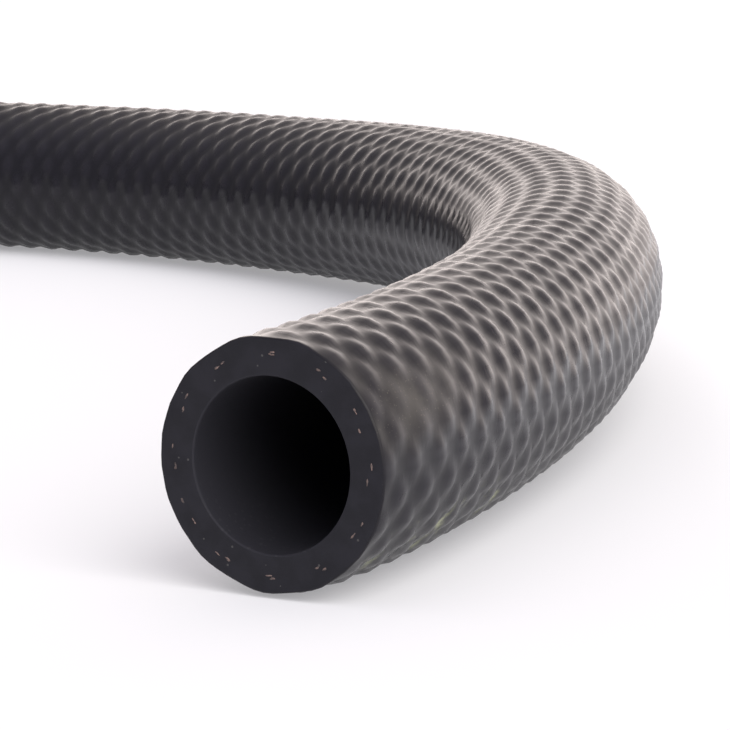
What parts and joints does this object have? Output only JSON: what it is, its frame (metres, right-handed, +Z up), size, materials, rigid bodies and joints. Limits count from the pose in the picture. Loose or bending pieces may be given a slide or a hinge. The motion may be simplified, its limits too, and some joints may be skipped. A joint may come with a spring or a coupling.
{
  "type": "rubber hose",
  "caption": "Length of black rubber hose with a thick wall and a wrapped, quilted surface, cut square at both ends and lying in one open loop.",
  "frame": {"origin": "on the floor under the middle of the loop's bounding box", "axes": "+Z up from the floor; the front end's mouth points along -Y and the far end's mouth points along +X"},
  "size_m": [0.4065, 0.398, 0.0316],
  "materials": {
    "black_rubber": "matt black rubber, with a slight sheen on the crests of its wrapped surface and a fine grain on the cut ends",
    "yarn": "dull pinkish beige twisted yarn, seen only as dots on the cut ends"
  },
  "bodies": {
    "root": {"hose": "black_rubber"}
  },
  "joints": []
}
